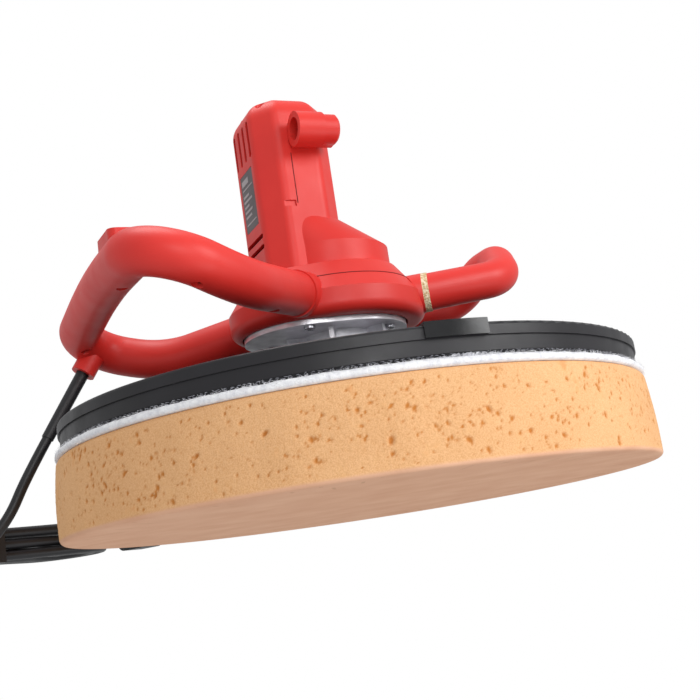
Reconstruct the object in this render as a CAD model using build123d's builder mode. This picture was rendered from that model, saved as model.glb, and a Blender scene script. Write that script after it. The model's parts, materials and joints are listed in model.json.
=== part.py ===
from build123d import *
import math
import os

# Handheld electric wall polisher with a large sponge disc.
# Millimetres. +Z runs up the spindle, the origin is the centre of the sponge's working face,
# +X points to the front bow handle, -X to the rear D handle.

# Driving dimensions -------------------------------------------------------------------------
DISC_DIA = 380.0
SPONGE_THICK = 50.0
LOOP_TOP = 54.5
HOOK_TOP = 57.0
PLATE_TOP = 72.0
PLATE_RIM_R = 185.7
RIM_WALL = 5.0

MOTOR_X = -22.0
COVER_NOSE_R = 46.0
BELLY_NOSE_R = 60.0
BELLY_TAIL_R = 49.5
BELLY_BOTTOM = 115.0
BELLY_SHOULDER = 131.0
BELLY_SEAM = 141.0
BELLY_TOP = 152.0
BELLY_SLOPE = 15.0 / 21.0
SHELL = 2.6

COLLAR_R = 41.5
COLLAR_TOP = 167.0
HOUSING_BASE = 187.0
SHOULDER_TOP = 186.0
SHOULDER_X = -18.2
HOUSING_TOP = 272.0
HOUSING_X = 55.0
HOUSING_Y = 62.0
HOUSING_CORNER = 13.5
HOUSING_DOME = 15.0
HOUSING_SEAM_X = -28.0

COVER_BOTTOM = 112.0
COVER_INSIDE = 118.0
CASE_LIP = 140.5
CASE_TOP = 142.0
BRACKET_TOP = 148.5

RUN_FIT = 0.05
PRESSURE_ANGLE = math.radians(25.0)
BACKLASH = 0.18
PINION_TEETH = 12
FIRST_TEETH = 44
SECOND_TEETH = 33
OUTPUT_TEETH = 44
FIRST_MODULE = 0.7
SECOND_MODULE = 1.0
OUTPUT_MODULE = 1.25
PINION_SHIFT = 0.3
SHAFT_R = 3.0

GRIP_R = 13.8
GRIP_BORE_R = 11.2
GRIP_START = (-36.0, 37.3, 131.0)
GRIP_KNEE = (-93.1, 94.7, 122.8)
GRIP_CORNER = (-153.2, 118.1, 142.4)
GRIP_CROWN = (-153.2, 0.0, 151.9)
GRIP_BENDS = [80.0, 28.0, 600.0, 28.0, 80.0]
GRIP_ROOT_REACH = 14.0

BOW_R = 12.5
BOW_BORE_R = 9.9
BOW_BEND_R = 22.0
BOW_START = (40.0, 30.0, 130.0)
BOW_CORNER = (113.2, 35.0, 139.5)
BOW_CROWN = (124.6, 11.0, 157.7)
BOW_ROOT = (52.0, 31.0, 131.6)
BOW_ROOT_AIM = (0.86, 0.51, 0.0)
BOW_GASKET = 4.0

VENT_SPOTS = (-13.5, -4.5, 4.5, 13.5)
VENT_Z = 246.0
VENT_LENGTH = 25.0
PLATE_Z = 208.0
TUBE_Y = -42.6
TUBE_Z = 241.0

CORD_DIA = 7.0
CORD_ROUTE = [
    (-179.0, 97.0, 76.0),
    (-195.8, 96.3, 49.9),
    (-207.0, 97.0, 27.0),
    (-226.0, 95.5, 6.5),
    (-258.0, 82.5, 4.4),
]
SLEEVE_START = (-143.6, 98.4, 131.0)
HANK_END = (-150.0, 190.0)
HANK_AIM = (-0.832, -0.555)
HANK_RUN = 172.0
HANK_LOOP_RADIUS = 32.0
HANK_WAIST = 32.0
HANK_TOP = 27.0
TIE_THICK = 1.2
PLUG_START = -40.0
PLUG_LENGTH = 36.0
PLUG_Z = 12.0

os.makedirs("parts", exist_ok=True)


def save(builder, label):
    """Label a finished piece and write it as one STEP file."""
    builder.part.label = label
    export_step(builder.part, f"parts/{label}.step")


def pod_outline(height, nose, tail):
    """The egg-shaped outline round the spindle and the motor axis, at one height."""
    with BuildSketch(Plane.XY.offset(height)) as outline:
        Circle(nose)
        with Locations((MOTOR_X, 0)):
            Circle(tail)
        make_hull()
    return outline.sketch


def belly_outline(height, inset):
    """The belly's outline at one height, drawn in by a wall thickness."""
    drop = max(0.0, height - BELLY_SHOULDER) * BELLY_SLOPE + inset
    return pod_outline(height, BELLY_NOSE_R - drop, BELLY_TAIL_R - drop)


def housing_outline(height, inset):
    """The motor housing's eight-sided section, drawn in by a wall thickness."""
    with BuildSketch(Plane.XY.offset(height)) as outline:
        with Locations((MOTOR_X, 0)):
            Rectangle(HOUSING_X - 2 * inset, HOUSING_Y - 2 * inset)
        chamfer(outline.vertices(), HOUSING_CORNER - 0.6 * inset)
        fillet(outline.vertices(), 8.0)
    return outline.sketch


def involute(angle):
    return math.tan(angle) - angle


def gear_outline(teeth, module, shift, height, centre, phase):
    """A spur gear's outline with involute flanks, one tooth centred on the phase angle."""
    pitch_r = teeth * module / 2
    base_r = pitch_r * math.cos(PRESSURE_ANGLE)
    tip_r = pitch_r + module * (1.0 + shift)
    root_r = pitch_r - module * (1.25 - shift)
    thick = module * (math.pi / 2 + 2 * shift * math.tan(PRESSURE_ANGLE)) - BACKLASH / 2
    half_tooth = thick / (2 * pitch_r) + involute(PRESSURE_ANGLE)
    start_r = max(base_r, root_r)
    flank = [start_r + (tip_r - start_r) * step / 4 for step in range(5)]
    side = [(r, half_tooth - involute(math.acos(base_r / r))) for r in flank]
    if root_r < base_r:
        side.insert(0, (root_r, half_tooth * 0.94))
    points = []
    for tooth in range(teeth):
        middle = math.radians(phase) + 2 * math.pi * tooth / teeth
        turned = [(r, middle - a) for r, a in side] + [(r, middle + a) for r, a in reversed(side)]
        for r, a in turned:
            points.append((centre[0] + r * math.cos(a), centre[1] + r * math.sin(a)))
    with BuildSketch(Plane.XY.offset(height)) as outline:
        with BuildLine():
            Polyline(*points, close=True)
        make_face()
    return outline.sketch


def bearing_to(start, end):
    return math.degrees(math.atan2(end[1] - start[1], end[0] - start[0]))


# Gear train layout: motor pinion, first shaft, second shaft, spindle --------------------------
def centre_distance(module, wheel_teeth):
    return module * (PINION_TEETH + wheel_teeth) / 2


MOTOR_AXIS = (MOTOR_X, 0.0)
FIRST_REACH = centre_distance(FIRST_MODULE, FIRST_TEETH)
SECOND_REACH = centre_distance(SECOND_MODULE, SECOND_TEETH)
OUTPUT_REACH = centre_distance(OUTPUT_MODULE, OUTPUT_TEETH)
FIRST_ANGLE = math.radians(111.0)
FIRST_AXIS = (
    MOTOR_X + FIRST_REACH * math.cos(FIRST_ANGLE),
    FIRST_REACH * math.sin(FIRST_ANGLE),
)
FIRST_R = math.hypot(*FIRST_AXIS)
OPENING = math.acos(
    (FIRST_R**2 + OUTPUT_REACH**2 - SECOND_REACH**2) / (2 * FIRST_R * OUTPUT_REACH)
)
SECOND_ANGLE = math.atan2(FIRST_AXIS[1], FIRST_AXIS[0]) - OPENING
SECOND_AXIS = (OUTPUT_REACH * math.cos(SECOND_ANGLE), OUTPUT_REACH * math.sin(SECOND_ANGLE))
SPINDLE_AXIS = (0.0, 0.0)

MOTOR_PHASE = bearing_to(MOTOR_AXIS, FIRST_AXIS)
FIRST_PHASE = MOTOR_PHASE + 180 + 180 / FIRST_TEETH
FIRST_PINION_PHASE = bearing_to(FIRST_AXIS, SECOND_AXIS)
SECOND_PHASE = FIRST_PINION_PHASE + 180 + 180 / SECOND_TEETH
SECOND_PINION_PHASE = bearing_to(SECOND_AXIS, SPINDLE_AXIS)
OUTPUT_PHASE = SECOND_PINION_PHASE + 180 + 180 / OUTPUT_TEETH
print("first shaft", FIRST_AXIS, "second shaft", SECOND_AXIS)

OUTPUT_Z = 119.5
OUTPUT_FACE = 8.0
SECOND_Z = 128.5
SECOND_FACE = 5.0
FIRST_Z = 134.8
FIRST_FACE = 4.8

# Spinning disc --------------------------------------------------------------------------------
with BuildPart() as sponge_pad:
    with BuildSketch(Plane.XZ):
        with BuildLine():
            Polyline(
                (0, 0),
                (DISC_DIA / 2, 0),
                (DISC_DIA / 2 - 2.2, SPONGE_THICK),
                (0, SPONGE_THICK),
                close=True,
            )
        make_face()
    revolve(axis=Axis.Z)
    fillet(sponge_pad.edges().filter_by(GeomType.CIRCLE), 2.5)
save(sponge_pad, "sponge_pad")

with BuildPart() as loop_layer:
    with BuildSketch(Plane.XY.offset(SPONGE_THICK)):
        Circle(DISC_DIA / 2 - 3.2)
    extrude(amount=LOOP_TOP - SPONGE_THICK)
    fillet(loop_layer.edges().group_by(Axis.Z)[-1], 1.5)
save(loop_layer, "loop_layer")

with BuildPart() as hook_layer:
    with BuildSketch(Plane.XY.offset(LOOP_TOP)):
        Circle(PLATE_RIM_R - 1.5)
    extrude(amount=HOOK_TOP - LOOP_TOP)
save(hook_layer, "hook_layer")

WEB_TOP = 61.0
HUB_PAD_R = 46.0
HUB_PAD_TOP = 66.0
RIB_TOP = 68.0
THREAD_R = 7.0
with BuildPart() as backing_plate:
    with BuildSketch(Plane.XY.offset(HOOK_TOP)):
        Circle(PLATE_RIM_R - 1.2)
    extrude(amount=WEB_TOP - HOOK_TOP)
    with BuildSketch(Plane.XY.offset(WEB_TOP)):
        Circle(PLATE_RIM_R - 1.2)
        Circle(PLATE_RIM_R - RIM_WALL, mode=Mode.SUBTRACT)
    extrude(amount=65.0 - WEB_TOP)
    with BuildSketch(Plane.XY.offset(65.0)):
        Circle(PLATE_RIM_R)
        Circle(PLATE_RIM_R - RIM_WALL, mode=Mode.SUBTRACT)
    extrude(amount=PLATE_TOP - 65.0)
    fillet(backing_plate.edges().group_by(Axis.Z)[-1], 1.8)
    with BuildSketch(Plane.XY.offset(WEB_TOP)):
        Circle(HUB_PAD_R)
    extrude(amount=HUB_PAD_TOP - WEB_TOP)
    with BuildSketch(Plane.XY.offset(WEB_TOP)):
        with PolarLocations((HUB_PAD_R + PLATE_RIM_R - RIM_WALL) / 2, 12):
            Rectangle(PLATE_RIM_R - RIM_WALL - HUB_PAD_R + 3, 4)
    extrude(amount=RIB_TOP - WEB_TOP)
    with BuildSketch(Plane.XY.offset(WEB_TOP)):
        Circle(118)
        Circle(114, mode=Mode.SUBTRACT)
    extrude(amount=RIB_TOP - WEB_TOP)
    Hole(THREAD_R + 0.1)
    with PolarLocations(34, 3):
        Hole(3.05)
save(backing_plate, "backing_plate")

CLIP_MIDDLE = 264.5
CLIP_HALF_SPAN = 5.4
with BuildPart() as rim_clip:
    with BuildSketch(Plane.XZ):
        with BuildLine():
            Polyline(
                (PLATE_RIM_R + 0.1, 65.2),
                (PLATE_RIM_R + 1.6, 65.2),
                (PLATE_RIM_R + 1.6, PLATE_TOP + 1.6),
                (PLATE_RIM_R - 14, PLATE_TOP + 1.6),
                (PLATE_RIM_R - 14, PLATE_TOP + 0.1),
                (PLATE_RIM_R + 0.1, PLATE_TOP + 0.1),
                close=True,
            )
        make_face()
    revolve(axis=Axis.Z)
    with BuildSketch(Plane.XY.offset(60)) as clip_span:
        with BuildLine():
            low = math.radians(CLIP_MIDDLE - CLIP_HALF_SPAN)
            high = math.radians(CLIP_MIDDLE + CLIP_HALF_SPAN)
            Polyline(
                (100 * math.cos(low), 100 * math.sin(low)),
                (200 * math.cos(low), 200 * math.sin(low)),
                (200 * math.cos(high), 200 * math.sin(high)),
                (100 * math.cos(high), 100 * math.sin(high)),
                close=True,
            )
        make_face()
    extrude(amount=30, mode=Mode.INTERSECT)
save(rim_clip, "rim_clip")

HUB_TOP = 81.0
with BuildPart() as plate_hub:
    with BuildSketch(Plane.XY.offset(HUB_PAD_TOP)):
        Circle(42)
    extrude(amount=4)
    with BuildSketch(Plane.XY.offset(HUB_PAD_TOP + 4)):
        Circle(21)
    extrude(amount=HUB_TOP - HUB_PAD_TOP - 4)
    chamfer(plate_hub.edges().group_by(Axis.Z)[-1], 1.0)
    Hole(THREAD_R + 0.02)
    with PolarLocations(34, 3):
        Hole(3.05)
save(plate_hub, "plate_hub")

for number in range(3):
    turn = math.radians(120 * number)
    spot = (34 * math.cos(turn), 34 * math.sin(turn))
    with BuildPart() as hub_bolt:
        with BuildSketch(Plane.XY.offset(WEB_TOP - 2)):
            with Locations(spot):
                Circle(3.0)
        extrude(amount=HUB_PAD_TOP + 4 - WEB_TOP + 2)
        with BuildSketch(Plane.XY.offset(HUB_PAD_TOP + 4)):
            with Locations(spot):
                RegularPolygon(5.6, 6)
        extrude(amount=4)
    save(hub_bolt, f"hub_bolt_{number + 1}")

SEAL_Z = 84.0
BEARING_Z = 88.0
BEARING_WIDTH = 12.0
with BuildPart() as spindle:
    with BuildSketch(Plane.XY.offset(HUB_PAD_TOP - 4)):
        Circle(THREAD_R)
    extrude(amount=HUB_TOP - HUB_PAD_TOP + 4)
    with BuildSketch(Plane.XY.offset(HUB_TOP)):
        Circle(11)
    extrude(amount=BEARING_Z - HUB_TOP)
    with BuildSketch(Plane.XY.offset(BEARING_Z)):
        Circle(8.5)
    extrude(amount=COVER_INSIDE + 0.5 - BEARING_Z)
    with BuildSketch(Plane.XY.offset(COVER_INSIDE + 0.5)):
        Circle(7.5)
    extrude(amount=OUTPUT_Z + OUTPUT_FACE - COVER_INSIDE + 0.5)
    with BuildSketch(Plane.XY.offset(OUTPUT_Z + OUTPUT_FACE)):
        Circle(5.0)
    extrude(amount=BRACKET_TOP - OUTPUT_Z - OUTPUT_FACE)
    chamfer(spindle.edges().group_by(Axis.Z)[-1], 0.6)
save(spindle, "spindle")

with BuildPart() as output_gear:
    extrude(
        gear_outline(OUTPUT_TEETH, OUTPUT_MODULE, -PINION_SHIFT, OUTPUT_Z, SPINDLE_AXIS, OUTPUT_PHASE),
        amount=OUTPUT_FACE,
    )
    with BuildSketch(Plane.XY.offset(OUTPUT_Z + OUTPUT_FACE - 2)):
        Circle(23)
        Circle(12, mode=Mode.SUBTRACT)
    extrude(amount=2, mode=Mode.SUBTRACT)
    with BuildSketch(Plane.XY.offset(OUTPUT_Z)):
        Circle(7.52)
    extrude(amount=OUTPUT_FACE, mode=Mode.SUBTRACT)
save(output_gear, "output_gear")

RACE_R = 11.6
with BuildPart() as bearing_inner:
    with BuildSketch(Plane.XY.offset(BEARING_Z)):
        Circle(RACE_R)
    extrude(amount=BEARING_WIDTH)
    with Locations((0, 0, BEARING_Z + BEARING_WIDTH / 2)):
        with PolarLocations(14.3, 8):
            Sphere(2.95)
    with BuildSketch(Plane.XY.offset(BEARING_Z)):
        Circle(8.52)
    extrude(amount=BEARING_WIDTH, mode=Mode.SUBTRACT)
save(bearing_inner, "spindle_bearing_inner")

with BuildPart() as bearing_outer:
    with BuildSketch(Plane.XY.offset(BEARING_Z)):
        Circle(20)
        Circle(17.4, mode=Mode.SUBTRACT)
    extrude(amount=BEARING_WIDTH)
save(bearing_outer, "spindle_bearing_outer")

with BuildPart() as dust_seal:
    with BuildSketch(Plane.XY.offset(SEAL_Z + 0.3)):
        Circle(19.8)
        Circle(11.2, mode=Mode.SUBTRACT)
    extrude(amount=3)
save(dust_seal, "dust_seal")

# Gearcase -------------------------------------------------------------------------------------
SCREW_SPOTS = [(25.0, -26.5), (25.0, 26.5), (-33.5, -33.5), (-33.5, 33.5)]
with BuildPart() as gearcase_cover:
    extrude(pod_outline(COVER_BOTTOM, COVER_NOSE_R, 41.5), amount=COVER_INSIDE - COVER_BOTTOM)
    with BuildSketch(Plane.XY.offset(SEAL_Z)):
        Circle(24.5)
    extrude(amount=COVER_BOTTOM - SEAL_Z)
    fillet(gearcase_cover.edges().group_by(Axis.Z)[0], 1.5)
    with BuildSketch(Plane.XY.offset(94)):
        with PolarLocations(30, 6):
            Rectangle(14, 3)
    extrude(amount=COVER_BOTTOM - 94)
    with BuildSketch(Plane.XY.offset(SEAL_Z)):
        Circle(20)
    extrude(amount=BEARING_Z + BEARING_WIDTH - SEAL_Z, mode=Mode.SUBTRACT)
    with BuildSketch(Plane.XY.offset(BEARING_Z)):
        Circle(13)
    extrude(amount=COVER_INSIDE - BEARING_Z, mode=Mode.SUBTRACT)
    with BuildSketch(Plane.XY.offset(COVER_INSIDE - 4.5)):
        with Locations(FIRST_AXIS, SECOND_AXIS):
            Circle(SHAFT_R + RUN_FIT)
    extrude(amount=4.5, mode=Mode.SUBTRACT)
    with Locations(*[(x, y, COVER_BOTTOM) for x, y in SCREW_SPOTS]):
        Hole(2.05)
save(gearcase_cover, "gearcase_cover")

for number, spot in enumerate(SCREW_SPOTS):
    with BuildPart() as cover_screw:
        with BuildSketch(Plane.XY.offset(COVER_BOTTOM - 2.6)):
            with Locations(spot):
                Circle(3.7)
        extrude(amount=2.6)
        fillet(cover_screw.edges().group_by(Axis.Z)[0], 1.0)
        with BuildSketch(Plane.XY.offset(COVER_BOTTOM)):
            with Locations(spot):
                Circle(2.0)
        extrude(amount=COVER_INSIDE - COVER_BOTTOM)
        with BuildSketch(Plane.XY.offset(COVER_BOTTOM - 2.6)):
            with Locations(spot):
                Rectangle(4.4, 0.9)
                Rectangle(0.9, 4.4)
        extrude(amount=1.4, mode=Mode.SUBTRACT)
    save(cover_screw, f"cover_screw_{number + 1}")

with BuildPart() as gearcase:
    extrude(pod_outline(COVER_INSIDE, 56, 46.5), amount=BELLY_SHOULDER - COVER_INSIDE)
    taper_in = (CASE_TOP - BELLY_SHOULDER) * BELLY_SLOPE
    loft(
        [
            pod_outline(BELLY_SHOULDER, 56, 46.5),
            pod_outline(CASE_TOP, 56 - taper_in, 46.5 - taper_in),
        ]
    )
    extrude(
        pod_outline(COVER_INSIDE, 54, 43.5),
        amount=BELLY_SHOULDER - COVER_INSIDE,
        mode=Mode.SUBTRACT,
    )
    lip_in = (CASE_LIP - BELLY_SHOULDER) * BELLY_SLOPE
    loft(
        [
            pod_outline(BELLY_SHOULDER, 54, 43.5),
            pod_outline(CASE_LIP, 54 - lip_in, 43.5 - lip_in),
        ],
        mode=Mode.SUBTRACT,
    )
    extrude(pod_outline(CASE_LIP - 1, 43, 32.5), amount=4, mode=Mode.SUBTRACT)
save(gearcase, "gearcase")

MOTOR_BEARING_Z = 143.5
MOTOR_BEARING_R = 11.0
MOTOR_BEARING_WIDTH = 7.0
with BuildPart() as motor_bracket:
    extrude(pod_outline(CASE_TOP, 46.3, 35.8), amount=2.5)
    with BuildSketch(Plane.XY.offset(CASE_TOP)):
        Circle(9)
        with Locations(FIRST_AXIS, SECOND_AXIS):
            Circle(5.6)
    extrude(amount=BRACKET_TOP - CASE_TOP)
    with BuildSketch(Plane.XY.offset(CASE_TOP)):
        with Locations(MOTOR_AXIS):
            Circle(MOTOR_BEARING_R + 2.6)
    extrude(amount=MOTOR_BEARING_Z + MOTOR_BEARING_WIDTH - CASE_TOP)
    with BuildSketch(Plane.XY.offset(MOTOR_BEARING_Z)):
        with Locations(MOTOR_AXIS):
            Circle(MOTOR_BEARING_R)
    extrude(amount=MOTOR_BEARING_WIDTH, mode=Mode.SUBTRACT)
    with BuildSketch(Plane.XY.offset(CASE_TOP)):
        with Locations(MOTOR_AXIS):
            Circle(7)
        with Locations(FIRST_AXIS, SECOND_AXIS):
            Circle(SHAFT_R + RUN_FIT)
        Circle(5 + RUN_FIT)
    extrude(amount=12, mode=Mode.SUBTRACT)
save(motor_bracket, "motor_bracket")


def ball_bearing(label, base, outer_r, bore_r, width):
    """A small sealed bearing on the motor axis."""
    with BuildPart() as bearing:
        with BuildSketch(Plane.XY.offset(base)):
            with Locations(MOTOR_AXIS):
                Circle(outer_r)
                Circle(bore_r + RUN_FIT, mode=Mode.SUBTRACT)
        extrude(amount=width)
        for level in (base, base + width - 0.6):
            with BuildSketch(Plane.XY.offset(level)):
                with Locations(MOTOR_AXIS):
                    Circle(outer_r - 2)
                    Circle(bore_r + 2, mode=Mode.SUBTRACT)
            extrude(amount=0.6, mode=Mode.SUBTRACT)
    save(bearing, label)


ball_bearing("motor_bearing_lower", MOTOR_BEARING_Z, MOTOR_BEARING_R, 4.0, MOTOR_BEARING_WIDTH)
UPPER_BEARING_Z = 254.0
ball_bearing("motor_bearing_upper", UPPER_BEARING_Z, 9.5, 3.5, 6.0)

# Lay shafts -----------------------------------------------------------------------------------
with BuildPart() as first_shaft:
    with BuildSketch(Plane.XY.offset(COVER_INSIDE - 4)):
        with Locations(FIRST_AXIS):
            Circle(SHAFT_R)
    extrude(amount=BRACKET_TOP - COVER_INSIDE + 3.5)
    extrude(
        gear_outline(
            PINION_TEETH, SECOND_MODULE, PINION_SHIFT, SECOND_Z, FIRST_AXIS, FIRST_PINION_PHASE
        ),
        amount=SECOND_FACE + 0.6,
    )
save(first_shaft, "first_shaft")

with BuildPart() as first_gear:
    extrude(
        gear_outline(FIRST_TEETH, FIRST_MODULE, -PINION_SHIFT, FIRST_Z, FIRST_AXIS, FIRST_PHASE),
        amount=FIRST_FACE,
    )
    with BuildSketch(Plane.XY.offset(FIRST_Z)):
        with Locations(FIRST_AXIS):
            Circle(SHAFT_R + 0.01)
    extrude(amount=FIRST_FACE, mode=Mode.SUBTRACT)
save(first_gear, "first_gear")

with BuildPart() as second_shaft:
    with BuildSketch(Plane.XY.offset(COVER_INSIDE - 4)):
        with Locations(SECOND_AXIS):
            Circle(SHAFT_R)
    extrude(amount=BRACKET_TOP - COVER_INSIDE + 3.5)
    extrude(
        gear_outline(
            PINION_TEETH, OUTPUT_MODULE, PINION_SHIFT, OUTPUT_Z - 0.4, SECOND_AXIS,
            SECOND_PINION_PHASE,
        ),
        amount=OUTPUT_FACE + 1.0,
    )
save(second_shaft, "second_shaft")

with BuildPart() as second_gear:
    extrude(
        gear_outline(
            SECOND_TEETH, SECOND_MODULE, -PINION_SHIFT, SECOND_Z + 0.2, SECOND_AXIS, SECOND_PHASE
        ),
        amount=SECOND_FACE,
    )
    with BuildSketch(Plane.XY.offset(SECOND_Z)):
        with Locations(SECOND_AXIS):
            Circle(SHAFT_R + 0.01)
    extrude(amount=SECOND_FACE + 1, mode=Mode.SUBTRACT)
save(second_gear, "second_gear")

# Motor ----------------------------------------------------------------------------------------
CORE_Z = 190.0
CORE_TOP = 226.0
CORE_R = 14.5
with BuildPart() as armature_shaft:
    extrude(
        gear_outline(PINION_TEETH, FIRST_MODULE, PINION_SHIFT, FIRST_Z - 0.2, MOTOR_AXIS, MOTOR_PHASE),
        amount=FIRST_FACE + 0.4,
    )
    with BuildSketch(Plane.XY.offset(FIRST_Z + FIRST_FACE)):
        with Locations(MOTOR_AXIS):
            Circle(3.2)
    extrude(amount=MOTOR_BEARING_Z - FIRST_Z - FIRST_FACE)
    with BuildSketch(Plane.XY.offset(MOTOR_BEARING_Z)):
        with Locations(MOTOR_AXIS):
            Circle(4.0)
    extrude(amount=251 - MOTOR_BEARING_Z)
    with BuildSketch(Plane.XY.offset(251)):
        with Locations(MOTOR_AXIS):
            Circle(3.5)
    extrude(amount=10)
save(armature_shaft, "armature_shaft")

with BuildPart() as armature_core:
    with BuildSketch(Plane.XY.offset(CORE_Z)):
        with Locations(MOTOR_AXIS):
            Circle(CORE_R)
            Circle(4.01, mode=Mode.SUBTRACT)
            with PolarLocations(11.4, 12):
                Circle(1.6, mode=Mode.SUBTRACT)
            with PolarLocations(CORE_R - 0.8, 12):
                Rectangle(3, 1.2, mode=Mode.SUBTRACT)
    extrude(amount=CORE_TOP - CORE_Z)
save(armature_core, "armature_core")

with BuildPart() as armature_windings:
    for base in (CORE_Z - 8, CORE_TOP):
        with BuildSketch(Plane.XY.offset(base)):
            with Locations(MOTOR_AXIS):
                Circle(13.2)
                Circle(5, mode=Mode.SUBTRACT)
        extrude(amount=8)
    fillet(armature_windings.edges().group_by(Axis.Z)[0], 2.0)
    with BuildSketch(Plane.XY.offset(CORE_Z - 2)):
        with Locations(MOTOR_AXIS):
            with PolarLocations(11.4, 12):
                Circle(1.5)
    extrude(amount=CORE_TOP - CORE_Z + 4)
save(armature_windings, "armature_windings")

COMMUTATOR_Z = 236.0
with BuildPart() as commutator:
    with BuildSketch(Plane.XY.offset(COMMUTATOR_Z)):
        with Locations(MOTOR_AXIS):
            Circle(10)
            Circle(4.01, mode=Mode.SUBTRACT)
            with PolarLocations(9.6, 24):
                Rectangle(1.4, 0.5, mode=Mode.SUBTRACT)
    extrude(amount=14)
save(commutator, "commutator")

FAN_Z = 160.0
with BuildPart() as cooling_fan:
    with BuildSketch(Plane.XY.offset(FAN_Z)):
        with Locations(MOTOR_AXIS):
            Circle(23)
    extrude(amount=2)
    with BuildSketch(Plane.XY.offset(FAN_Z + 2)):
        with Locations(MOTOR_AXIS):
            Circle(8)
            with PolarLocations(15.5, 14):
                Rectangle(14, 1.6, rotation=22)
    extrude(amount=9)
    with BuildSketch(Plane.XY.offset(FAN_Z)):
        with Locations(MOTOR_AXIS):
            Circle(4.01)
    extrude(amount=12, mode=Mode.SUBTRACT)
save(cooling_fan, "cooling_fan")

STATOR_R = 24.4
GAP_R = 15.2
COIL_R = 20.6
STATOR_Z = 188.0
STATOR_TOP = 228.0
with BuildPart() as stator_core:
    with BuildSketch(Plane.XY.offset(STATOR_Z)):
        with Locations(MOTOR_AXIS):
            Circle(STATOR_R)
            Circle(GAP_R, mode=Mode.SUBTRACT)
    extrude(amount=STATOR_TOP - STATOR_Z)
    with BuildSketch(Plane.XY.offset(STATOR_Z)):
        with Locations(MOTOR_AXIS):
            Circle(COIL_R)
            Circle(GAP_R - 0.1, mode=Mode.SUBTRACT)
            Rectangle(60, 20, mode=Mode.SUBTRACT)
    extrude(amount=STATOR_TOP - STATOR_Z, mode=Mode.SUBTRACT)
save(stator_core, "stator_core")

for side, label in ((1, "field_coil_left"), (-1, "field_coil_right")):
    with BuildPart() as field_coil:
        with BuildSketch(Plane.XY.offset(STATOR_Z - 5)):
            with Locations(MOTOR_AXIS):
                Circle(COIL_R - 0.3)
                Circle(GAP_R + 0.4, mode=Mode.SUBTRACT)
            with Locations((MOTOR_X, side * 20.6)):
                Rectangle(60, 20, mode=Mode.INTERSECT)
        extrude(amount=STATOR_TOP - STATOR_Z + 10)
    save(field_coil, label)

BRUSH_Z = 243.0
with BuildPart() as brush_plate:
    with BuildSketch(Plane.XY.offset(BRUSH_Z - 8)):
        with Locations(MOTOR_AXIS):
            Circle(24)
            Circle(13.2, mode=Mode.SUBTRACT)
    extrude(amount=3.2)
    with BuildSketch(Plane.XZ.offset(-25)):
        with Locations((MOTOR_X, BRUSH_Z)):
            Rectangle(10, 10)
    extrude(amount=50)
    with BuildSketch(Plane.XY.offset(BRUSH_Z - 10)):
        with Locations(MOTOR_AXIS):
            Circle(13.2)
    extrude(amount=20, mode=Mode.SUBTRACT)
    with BuildSketch(Plane.XZ.offset(-30)):
        with Locations((MOTOR_X, BRUSH_Z)):
            Rectangle(6.4, 6.4)
    extrude(amount=60, mode=Mode.SUBTRACT)
save(brush_plate, "brush_plate")

for side, word in ((1, "left"), (-1, "right")):
    with BuildPart() as brush:
        with BuildSketch(Plane.XZ.offset(-side * 10.25)):
            with Locations((MOTOR_X, BRUSH_Z)):
                Rectangle(6, 6)
        extrude(amount=-side * 13)
    save(brush, f"carbon_brush_{word}")

# Belly shells ---------------------------------------------------------------------------------


def mirrored(side, point):
    """A point of one side, or its twin across the middle plane."""
    return (point[0], side * point[1], point[2])


def grip_tube(radius):
    """The D handle's loop as one solid rod, from inside the belly and back."""
    with BuildPart() as rod:
        with BuildLine() as path:
            FilletPolyline(
                mirrored(-1, GRIP_START),
                mirrored(-1, GRIP_KNEE),
                mirrored(-1, GRIP_CORNER),
                GRIP_CROWN,
                mirrored(1, GRIP_CORNER),
                mirrored(1, GRIP_KNEE),
                mirrored(1, GRIP_START),
                radius=GRIP_BENDS,
            )
        with BuildSketch(Plane(origin=path.line @ 0, z_dir=path.line % 0)):
            Circle(radius)
        sweep()
    return rod.part


def branch_plane(side, ahead):
    """Square across a D handle root, a distance out from its start."""
    start = mirrored(side, GRIP_START)
    end = mirrored(side, GRIP_KNEE)
    way = tuple(b - a for a, b in zip(start, end))
    return Plane(origin=start, z_dir=way).offset(ahead)


def bow_plane(side, ahead):
    """Square across a front branch, a distance out from its start."""
    start = mirrored(side, BOW_START)
    end = mirrored(side, BOW_CORNER)
    way = tuple(b - a for a, b in zip(start, end))
    return Plane(origin=start, z_dir=way).offset(ahead)


def bow_root(side, ahead):
    """The slanted joint face between the belly and a front branch, moved outwards."""
    return Plane(origin=mirrored(side, BOW_ROOT), z_dir=mirrored(side, BOW_ROOT_AIM)).offset(ahead)


with BuildPart() as belly_cavity:
    extrude(belly_outline(BELLY_BOTTOM + SHELL, SHELL), amount=BELLY_SHOULDER - BELLY_BOTTOM - SHELL)
    loft([belly_outline(BELLY_SHOULDER, SHELL), belly_outline(BELLY_TOP - SHELL, SHELL)])

with BuildPart() as branch_stubs:
    for side in (-1, 1):
        with BuildSketch(bow_plane(side, 0.0)):
            Circle(BOW_R + 0.7)
        extrude(amount=40)
        with BuildSketch(bow_root(side, 0.0)):
            Circle(30)
        extrude(amount=40, mode=Mode.SUBTRACT)
    for side in (-1, 1):
        with BuildSketch(branch_plane(side, 0.0)):
            Circle(GRIP_R + 1.0)
        extrude(amount=GRIP_ROOT_REACH)

with BuildPart() as branch_bores:
    for side in (-1, 1):
        with BuildSketch(branch_plane(side, 0.0)):
            Circle(GRIP_BORE_R)
        extrude(amount=GRIP_ROOT_REACH)
        with BuildSketch(bow_plane(side, 0.0)):
            Circle(BOW_BORE_R)
        extrude(amount=40)

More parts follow.
